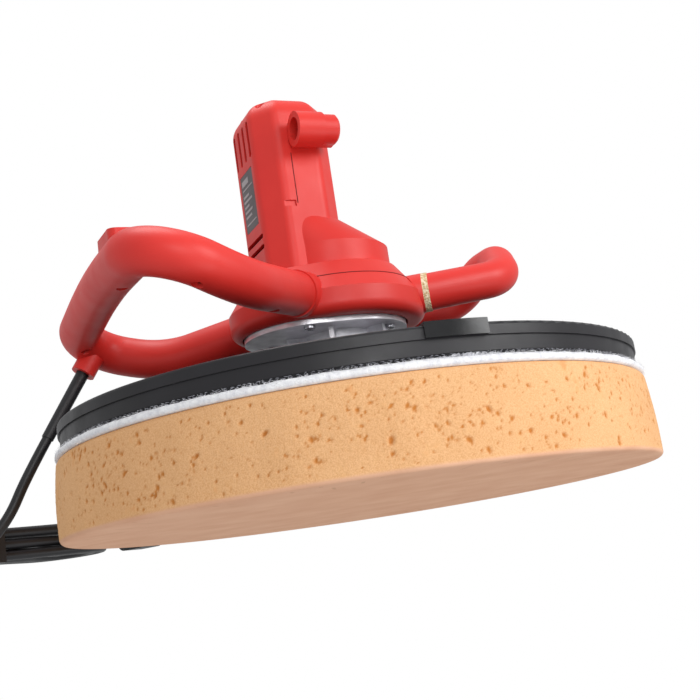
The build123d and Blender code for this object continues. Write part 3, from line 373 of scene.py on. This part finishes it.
# The hank in millimetres: how far along it the centres of its two loops and its waist lie, how
# wide each track is at a loop and at the waist, and the heights of its layers.
FAR, NEAR, WAIST = 156.8, 15.2, 86.0
TRACKS = {"inner": (21.6, 3.8), "outer": (28.8, 11.2)}
LEVELS = (4.7, 12.3, 19.9)

# A spline cuts inside its control points, so those of a loop stand farther out than its radius.
CUT_INSIDE = 0.952

# How far a track has widened, from the waist to a loop, at the stations between them.
WIDENED = 0.42

# A turn has 16 stations: 0 to 4 round the far loop and 8 to 12 round the near one, 45 degrees
# apart, and three along each side between the loops.
STATIONS = 16
BETWEEN_LOOPS = {5: 121, 6: WAIST, 7: 51, 13: 51, 14: WAIST, 15: 121}


def station(index, track, level):
    """One of the stations of a turn, which starts on the side of the disc at the far loop."""
    radius, waist = TRACKS[track]
    reach = radius / CUT_INSIDE
    height = LEVELS[level]
    if index <= 4:
        turn = math.radians(90 - 45 * index)
        return in_hank(FAR + reach * math.cos(turn), reach * math.sin(turn), height)
    if 8 <= index <= 12:
        turn = math.radians(-90 - 45 * (index - 8))
        return in_hank(NEAR + reach * math.cos(turn), reach * math.sin(turn), height)
    along = BETWEEN_LOOPS[index]
    width = waist if along == WAIST else waist + (radius - waist) * WIDENED
    side = -1 if index < 8 else 1
    return in_hank(along, side * width, height)


# Each turn starts on one track and level and moves to the next after the station in the middle.
TURNS = [
    ("outer", 0, 14, "inner", 0),
    ("inner", 0, 13, "inner", 1),
    ("inner", 1, 12, "outer", 1),
    ("outer", 1, 11, "outer", 2),
]

# From the last loop over the top of the hank and down to the plug: along, side and height.
PLUG_LEAD = ((92, -9.5, 20), (56, -8, 20), (22, -3, 20.6), (-8, 0, 20.2), (-24, 0, 16.6), (-43, 0, 12.2))

hank_route = []
for track, level, change, next_track, next_level in TURNS:
    for index in range(STATIONS):
        if index <= change:
            hank_route.append(station(index, track, level))
        else:
            hank_route.append(station(index, next_track, next_level))
hank_route += [station(index, "outer", 2) for index in range(6)]
hank_route += [in_hank(*spot) for spot in PLUG_LEAD]

# The cord comes in past the first station, on its way to the second.
route = CORD_ROUTE + hank_route[1:]

cord_data = bpy.data.curves.new("lead", "CURVE")
cord_data.dimensions = "3D"
cord_data.bevel_depth = CORD_DIAMETER / 2
cord_data.bevel_resolution = 5
cord_data.resolution_u = 6
cord_data.use_fill_caps = True
line = cord_data.splines.new("NURBS")
line.points.add(len(route) - 1)
for point, spot in zip(line.points, route):
    point.co = (*spot, 1)
line.order_u = 3
line.use_endpoint_u = True
cord_data.materials.append(LEAD)
lead = bpy.data.objects.new("lead", cord_data)
scene.collection.objects.link(lead)
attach(lead, "machine")
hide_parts("mains_cord", "cord_hank")


def spline_length(curve):
    """The length of a curve object's line, without its thickness."""
    bare = curve.copy()
    bare.data = curve.data.copy()
    bare.data.bevel_depth = 0
    traced = bpy.data.meshes.new_from_object(bare)
    spots = np.array([v.co for v in traced.vertices])
    bpy.data.objects.remove(bare)
    bpy.data.meshes.remove(traced)
    return float(np.linalg.norm(np.diff(spots, axis=0), axis=1).sum())


cord_length = spline_length(lead)


# Sponge ---------------------------------------------------------------------------------------
RADIUS, TOP_RADIUS, HEIGHT = 0.190, 0.1878, 0.050
LOW_ROUND, TOP_ROUND = 0.0024, 0.003
SWELL = 0.0009
COLUMNS = 1120
SIDE_ROWS = 56
FACE_RINGS = (0.004, 0.03, 0.06, 0.09, 0.115, 0.135, 0.152, 0.165, 0.174, 0.180, 0.184, 0.1862)
TOP_RINGS = (0.184, 0.150, 0.08, 0.004)

PORE_TRIES = 3600
LOWEST_PORE = 0.004
PORE_SIZES = ((0.0004, 0.0008), (0.0007, 0.0011), (0.0011, 0.0018))
PORE_SHARES = (0.66, 0.27, 0.07)
# A pore this wide or wider gets the full painted shade.
FULL_SHADE_PORE = 0.001
FACE_PORE_SHADES = 90
GRAIN = 0.00007

# The outline from the middle of the polishing face, round the side, to the middle of the top.
corner = np.linspace(0, math.pi / 2, 5)[1:-1]
profile = [(r, 0.0) for r in FACE_RINGS]
for a in corner:
    profile.append((RADIUS - LOW_ROUND + LOW_ROUND * math.sin(a), LOW_ROUND - LOW_ROUND * math.cos(a)))
for height in np.linspace(LOW_ROUND, HEIGHT - TOP_ROUND, SIDE_ROWS):
    share = height / HEIGHT
    swell = SWELL * math.sin(math.pi * share)
    profile.append((RADIUS + (TOP_RADIUS - RADIUS) * share + swell, height))
edge_radius, edge_height = TOP_RADIUS - TOP_ROUND, HEIGHT - TOP_ROUND
for a in corner:
    profile.append((edge_radius + TOP_ROUND * math.cos(a), edge_height + TOP_ROUND * math.sin(a)))
profile += [(r, HEIGHT) for r in TOP_RINGS]
profile = np.array(profile)

ring = np.linspace(0, FULL_TURN, COLUMNS, endpoint=False)
radii = np.repeat(profile[:, :1], COLUMNS, axis=1)
heights = np.repeat(profile[:, 1:], COLUMNS, axis=1)
# How much painted shade darkens each point of the surface, in its holes.
pore_shade = np.zeros_like(radii)
sink = np.zeros_like(radii)
side_start = len(FACE_RINGS) + len(corner)
side_end = side_start + SIDE_ROWS


def turn_from(centre):
    """Each column's angle from the given one, between minus and plus half a turn."""
    return (ring - centre + math.pi) % FULL_TURN - math.pi


# Pores in the side, crowded in some patches: most are fine, and a few are large. Each is dented in and
# darkened with painted shade, the large ones most.
for _ in range(PORE_TRIES):
    centre, height = rng.uniform(0, FULL_TURN), rng.uniform(LOWEST_PORE, HEIGHT - TOP_ROUND)
    crowd = math.sin(7 * centre + 60 * height) + math.sin(17 * centre - 110 * height + 2)
    if crowd < rng.uniform(-2.6, 1.6):
        continue
    sizes = [rng.uniform(*span) for span in PORE_SIZES]
    size = rng.choice(sizes, p=PORE_SHARES)
    tall = size * rng.uniform(1.0, 1.7)
    slant = rng.uniform(-0.5, 0.5)
    turn = turn_from(centre)
    near = np.where(np.abs(turn) * RADIUS < 2.2 * size)[0]
    near_rows = np.where(np.abs(profile[side_start:side_end, 1] - height) < 1.4 * tall)[0] + side_start
    if not len(near) or not len(near_rows):
        continue
    dx = (turn[near] * RADIUS)[None, :]
    dz = (profile[near_rows, 1] - height)[:, None]
    apart = np.sqrt(((dx - slant * dz) / size) ** 2 + (dz / tall) ** 2)
    hole_and_shade = np.clip(1 - apart**2, 0, 1)
    block = np.ix_(near_rows, near)
    pore_shade[block] = np.maximum(pore_shade[block], hole_and_shade * min(1, size / FULL_SHADE_PORE))
    sink[block] = np.maximum(sink[block], hole_and_shade**0.7 * size * rng.uniform(0.4, 0.8))

# A gentle wave and a grain on the side, both fading out towards its edges.
wave = 0.00028 * np.sin(9 * ring) + 0.0002 * np.sin(23 * ring + 1) + 0.00015 * np.sin(41 * ring + 2)
on_side = np.zeros(len(profile))
on_side[side_start:side_end] = np.sin(np.linspace(0.25, math.pi - 0.2, SIDE_ROWS)) ** 0.5
grain = rng.normal(0, GRAIN, radii.shape) * on_side[:, None]
radii = radii - sink + on_side[:, None] * wave[None, :] + grain

# Painted shade of pores near the edge of the polishing face, as darker marks without a dent.
for _ in range(FACE_PORE_SHADES):
    centre, away = rng.uniform(0, FULL_TURN), rng.uniform(0.16, 0.186)
    row = int(np.argmin(np.abs(np.array(FACE_RINGS) - away)))
    near = np.where(np.abs(turn_from(centre)) * away < rng.uniform(0.0006, 0.0014))[0]
    pore_shade[row, near] = rng.uniform(0.2, 0.5)

sponge = turned_piece("sponge", radii, heights, ring, FOAM)
under = np.zeros_like(radii)
under[:side_start] = 1.0
under[side_start] = 0.35
for name, values in (("pore_shade", pore_shade), ("under", under)):
    attribute = sponge.data.attributes.new(name, "FLOAT", "POINT")
    attribute.data.foreach_set("value", values.reshape(-1).astype(np.float32))
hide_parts("sponge_pad")


# Loop cloth on the sponge: a soft band and its loose fibres ----------------------------------
CLOTH_COLUMNS = 720
CLOTH_LOW, CLOTH_TOP = 0.0499, 0.0546
FLUFF = 0.00028
FLUFF_SPREAD = 5
FLUFF_SHIFT = 40
TOP_HALF = 0.052
FIBRES = 9000

# The cloth's outline as radius and height: flat below, a rounded edge, and flat on top.
band = [(r, CLOTH_LOW) for r in (0.004, 0.10, 0.178, 0.1868)]
band += [(0.1880, 0.0507), (0.1884, 0.0518), (0.1881, 0.0530), (0.1872, 0.0541), (0.1855, 0.0548)]
band += [(r, CLOTH_TOP) for r in (0.178, 0.10, 0.004)]
band = np.array(band)
loose = np.zeros(len(band))
loose[3:9] = 1  # only the rounded edge is fluffy
cloth_ring = np.linspace(0, FULL_TURN, CLOTH_COLUMNS, endpoint=False)
rough = rng.normal(0, 1, CLOTH_COLUMNS + FLUFF_SPREAD - 1)
fluff = np.convolve(rough, np.ones(FLUFF_SPREAD) / FLUFF_SPREAD, "valid") * FLUFF
tufts = rng.normal(0, 0.0001, (len(band), CLOTH_COLUMNS))
cloth_radii = band[:, :1] + loose[:, None] * (fluff[None, :] + tufts)
lift = np.roll(fluff, FLUFF_SHIFT)[None, :] * (band[:, 1:] > TOP_HALF)
cloth_heights = band[:, 1:] + loose[:, None] * lift
pile = turned_piece("loop_cloth", cloth_radii, cloth_heights, cloth_ring, PILE)
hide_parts("loop_layer")

# Each loose fibre is a flat curl of a quad and a triangle, rooted in the cloth's edge.
verts, faces = [], []
for _ in range(FIBRES):
    turn, share = rng.uniform(0, FULL_TURN), rng.uniform(0, 1)
    radial = np.array([math.cos(turn), math.sin(turn), 0])
    along = np.array([-math.sin(turn), math.cos(turn), 0])
    root = radial * rng.uniform(0.1868, 0.1879) + np.array([0, 0, 0.0506 + 0.0042 * share])
    swing = rng.normal(0, 0.8)
    outward = radial * rng.uniform(0.15, 0.9)
    climb = np.array([0, 0, rng.uniform(-0.3, 1.0) * (0.3 + share)])
    heading = outward + along * swing + climb
    heading /= np.linalg.norm(heading)
    length, wide = rng.uniform(0.0007, 0.0021), rng.uniform(0.00005, 0.00011)
    curl = along * rng.normal(0, 0.0004) + np.array([0, 0, rng.normal(0, 0.0003)])
    beside = np.cross(heading, radial)
    beside *= wide / max(np.linalg.norm(beside), 1e-9)
    middle = root + heading * length * 0.55 + curl
    tip = root + heading * length + curl * 0.4
    at = len(verts)
    verts += [root - beside, root + beside, middle + beside * 0.8, middle - beside * 0.8, tip]
    faces += [(at, at + 1, at + 2, at + 3), (at + 3, at + 2, at + 4)]
piece("loop_fibres", verts, faces, "disc", PILE)


# Hook rows round the edge of the hook sheet, in a light grey that paints highlight on dark hooks
# ----------
HOOKS_IN_ROW = 330
HOOK_RADIUS = 0.00026
HOOK_SIDES = 5
HOOK_INSET, HOOK_BOW = 0.18405, 0.0009
SHEET_RADIUS = 0.185

# The lower row of hooks stands farther out than the upper one.
HOOK_ROWS = ((0.0552, 0.001), (0.0563, 0))

verts, faces = [], []
for row_height, row_out in HOOK_ROWS:
    for step in range(HOOKS_IN_ROW):
        turn = FULL_TURN * (step + rng.uniform(-0.25, 0.25)) / HOOKS_IN_ROW
        lean_by = rng.normal(0, 0.0003)
        half = rng.uniform(0.0006, 0.0012)
        hook_path = []
        for share in (-1, -0.5, 0, 0.5, 1):
            away = HOOK_INSET + HOOK_BOW * (1 - share**2) + row_out
            angle = turn + share * half / SHEET_RADIUS
            height = row_height + lean_by * share + rng.normal(0, 0.00008)
            hook_path.append((away * math.cos(angle), away * math.sin(angle), height))
        points, cells = tube(hook_path, HOOK_RADIUS, HOOK_SIDES)
        faces += [tuple(i + len(verts) for i in f) for f in cells]
        verts += points
# The hooks are dark; their light grey is painted highlight, for the glints along the rows.
HOOK_GLINT = moulded("hook_nylon_glint", (92, 92, 98), (150, 150, 158), (0.3, 0.5), 900, 0.00005)
piece("hook_rows", verts, faces, "disc", HOOK_GLINT)


# A crumpled sliver of the cloth's adhesive film, which shows at the front ---------------------
FILM_STEPS, FILM_STRIPS = 32, 3
FILM_START, FILM_SWEEP = -99.5, 11
FILM_RADIUS, FILM_FLARE, FILM_LOW = 0.1866, 0.0007, 0.0539

SILVER = metal("film_silver", (136, 136, 142), (206, 206, 212), (0.3, 0.5), 500, 0.0004, Metallic=0.5)
verts, faces = [], []
for step in range(FILM_STEPS + 1):
    share = step / FILM_STEPS
    turn = math.radians(FILM_START + FILM_SWEEP * share)
    tall = 0.0004 + 0.0021 * math.sin(math.pi * share) ** 0.6 * rng.uniform(0.3, 1.0)
    for row in range(FILM_STRIPS + 1):
        away = FILM_RADIUS + FILM_FLARE * row / FILM_STRIPS + rng.normal(0, 0.00022)
        verts.append((away * math.cos(turn), away * math.sin(turn), FILM_LOW + tall * row / FILM_STRIPS))
for step in range(FILM_STEPS):
    for row in range(FILM_STRIPS):
        at = step * (FILM_STRIPS + 1) + row
        ahead = at + FILM_STRIPS + 1
        faces.append((at, ahead, ahead + 1, at + 1))
film = piece("film_sliver", verts, faces, "disc", SILVER, smooth=False)
thick = film.modifiers.new("thickness", "SOLIDIFY")
thick.thickness = 0.0002


# Screws of the housing and the plain bars on the data plate ----------------------------------
HEAD_SIDES = 40
HEAD_OUTLINE = ((1.0, 0.0), (1.0, 0.35), (0.93, 0.62), (0.76, 0.84), (0.5, 0.97), (0.3, 1.0), (0.04, 1.0))
CROSS_WIDTH, CROSS_REACH, CROSS_DEPTH = 0.13, 0.62, 0.65
CROSS_SPAN = 0.8
SCREW_SPOTS = ((-0.040, -0.019), (-0.040, 0.019), (-0.006, -0.021), (-0.006, 0.021))
SCREW_SINK = 0.0115


def cross_head(name, at, axis, radius, depth, body):
    """A domed screw head with a cross recess, its flat underside at the given point."""
    facing = Vector(axis).to_track_quat("Z", "Y").to_matrix()
    points = []
    for share, high in HEAD_OUTLINE:
        for step in range(HEAD_SIDES):
            angle = FULL_TURN * step / HEAD_SIDES
            x, y = radius * share * math.cos(angle), radius * share * math.sin(angle)
            inner, outer = sorted((abs(x), abs(y)))
            in_cross = inner < radius * CROSS_WIDTH and outer < radius * CROSS_REACH
            z = depth * (high - (CROSS_DEPTH if in_cross and share < CROSS_SPAN else 0))
            points.append(Vector(at) + facing @ Vector((x, y, z)))
    return piece(name, points, closed_faces(len(HEAD_OUTLINE), HEAD_SIDES), body, STEEL)


housing_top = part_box("motor_housing_rear")[1][2]
for index, (x, y) in enumerate(SCREW_SPOTS):
    seat = (x, y, housing_top - SCREW_SINK)
    cross_head(f"housing_screw_{index + 1}", seat, (0, 0, 1), 0.0029, 0.0018, "machine")

# Each bar as shares of the plate: its middle's height, its two ends and half its thickness.
BARS = (
    (0.86, 0.1, 0.62, 0.05),
    (0.74, 0.1, 0.90, 0.012),
    (0.62, 0.1, 0.55, 0.02),
    (0.53, 0.1, 0.78, 0.02),
    (0.44, 0.1, 0.48, 0.02),
    (0.35, 0.1, 0.70, 0.02),
    (0.26, 0.1, 0.60, 0.02),
    (0.13, 0.1, 0.90, 0.012),
)
BAR_PROUD, BAR_SUNK = 0.00012, 0.0001
BAR_FACES = ((3, 2, 1, 0), (0, 1, 5, 4), (1, 2, 6, 5), (2, 3, 7, 6), (3, 0, 4, 7))

plate_low, plate_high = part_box("nameplate")
plate_wide, plate_tall = plate_high[1] - plate_low[1], plate_high[2] - plate_low[2]
verts, faces = [], []
for middle, start, end, half in BARS:
    y0, y1 = plate_high[1] - plate_wide * end, plate_high[1] - plate_wide * start
    z0, z1 = plate_low[2] + plate_tall * (middle - half), plate_low[2] + plate_tall * (middle + half)
    at = len(verts)
    for x in (plate_low[0] - BAR_PROUD, plate_low[0] + BAR_SUNK):
        verts += [(x, y0, z0), (x, y1, z0), (x, y1, z1), (x, y0, z1)]
    faces += [tuple(at + i for i in f) for f in BAR_FACES]
INK = moulded("plate_rule", (150, 146, 148), (176, 172, 174), (0.4, 0.5))
piece("plate_bars", verts, faces, "machine", INK, smooth=False)


# Parting lines of the red shells, as thin dark tubes of painted shade along the joints between them
# --------
SEAM_LOW, SEAM_TALL, SEAM_STEPS = 0.195, 0.0345, 6
SEAM_SIDES = 6
NOSE_RADIUS, TAIL_RADIUS, TAIL_X = 0.0529, 0.0424, -0.022
BELLY_STEPS = 180

# A dark red that paints the shade of the joints' grooves.
JOINT_SHADE = moulded("joint_shadow", (92, 12, 12), (110, 18, 16), (0.6, 0.8))


# A thin tube of painted shade along a joint.
def painted_joint_shade(name, path, radius):
    points, cells = tube(path, radius, SEAM_SIDES)
    return piece(name, points, cells, "machine", JOINT_SHADE)


seam_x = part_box("motor_housing_front")[0][0]
face_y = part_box("motor_housing_front")[0][1]
seam_heights = [SEAM_LOW + SEAM_TALL * step / SEAM_STEPS for step in range(SEAM_STEPS + 1)]
for word, side in (("near", 1), ("far", -1)):
    painted_joint_shade(f"housing_joint_shade_{word}", [(seam_x, side * face_y, height) for height in seam_heights], 0.00032)

# The belly's joint runs round a nose and a tail, on whichever of the two reaches farther out.
belly_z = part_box("belly_upper")[0][2]
belly_path = []
for step in range(BELLY_STEPS + 1):
    angle = FULL_TURN * step / BELLY_STEPS
    tail_leads = TAIL_RADIUS + TAIL_X * math.cos(angle) > NOSE_RADIUS
    centre, away = (TAIL_X, TAIL_RADIUS) if tail_leads else (0, NOSE_RADIUS)
    belly_path.append((centre + away * math.cos(angle), away * math.sin(angle), belly_z))
painted_joint_shade("belly_joint_shade", belly_path, 0.0003)


# Floor, world and lamps -----------------------------------------------------------------------
FLOOR_HALF, FLOOR_Z = 6, -0.0006

floor_data = bpy.data.meshes.new("floor")
corners = [(x * FLOOR_HALF, y * FLOOR_HALF, FLOOR_Z) for x, y in ((-1, -1), (1, -1), (1, 1), (-1, 1))]
floor_data.from_pydata(corners, [], [(0, 1, 2, 3)])
floor = bpy.data.objects.new("floor", floor_data)
scene.collection.objects.link(floor)

# The camera lies below the floor, so the floor is clear from below and casts no shadow.
pale = Shader("floor_pale", roughness=0.9)
pale.colour(pale.ramp(pale.noise(3, 3), (0.3, tone(236, 236, 238)), (0.7, tone(243, 243, 244))))
clear = pale.node("BsdfTransparent")
sided = pale.node("MixShader", Fac=pale.node("NewGeometry").outputs["Backfacing"])
pale.tree.links.new(pale.main.outputs[0], sided.inputs[1])
pale.tree.links.new(clear.outputs[0], sided.inputs[2])
pale.tree.links.new(sided.outputs[0], pale.tree.nodes["Material Output"].inputs["Surface"])
floor_data.materials.append(pale.material)
floor.visible_diffuse = False
floor.visible_glossy = False
floor.visible_transmission = False
floor.visible_shadow = False

# The camera sees a white world, and the object is lit by a dimmer one.
world = bpy.data.worlds.new("studio")
scene.world = world
world.use_nodes = True
sky = world.node_tree
backdrop = sky.nodes["Background"]
backdrop.inputs["Color"].default_value = (1, 1, 1, 1)
backdrop.inputs["Strength"].default_value = 1.0
glow = sky.nodes.new("ShaderNodeBackground")
glow.inputs["Color"].default_value = (0.98, 0.99, 1, 1)
glow.inputs["Strength"].default_value = 0.6
ray = sky.nodes.new("ShaderNodeLightPath")
either = sky.nodes.new("ShaderNodeMixShader")
sky.links.new(ray.outputs["Is Camera Ray"], either.inputs["Fac"])
sky.links.new(glow.outputs[0], either.inputs[1])
sky.links.new(backdrop.outputs[0], either.inputs[2])
sky.links.new(either.outputs[0], sky.nodes["World Output"].inputs["Surface"])


def lamp(name, at, target, size, power):
    """A round area lamp that faces the target."""
    data = bpy.data.lights.new(name, "AREA")
    data.shape = "DISK"
    data.size = size
    data.energy = power
    made = bpy.data.objects.new(name, data)
    scene.collection.objects.link(made)
    made.location = at
    made.rotation_euler = (Vector(target) - Vector(at)).to_track_quat("-Z", "Y").to_euler()


lamp("key", (0.85, -1.3, 0.7), (0.02, 0, 0.1), 0.9, 12.5)
lamp("front", (-0.35, -1.6, 0.45), (0, 0, 0.16), 0.7, 5.5)
lamp("top", (-0.2, 0.2, 1.5), (0, 0, 0.1), 0.9, 8)
lamp("low", (0.5, -1.1, -0.7), (0, 0, 0.05), 0.9, 4)
scene.view_settings.view_transform = "Standard"
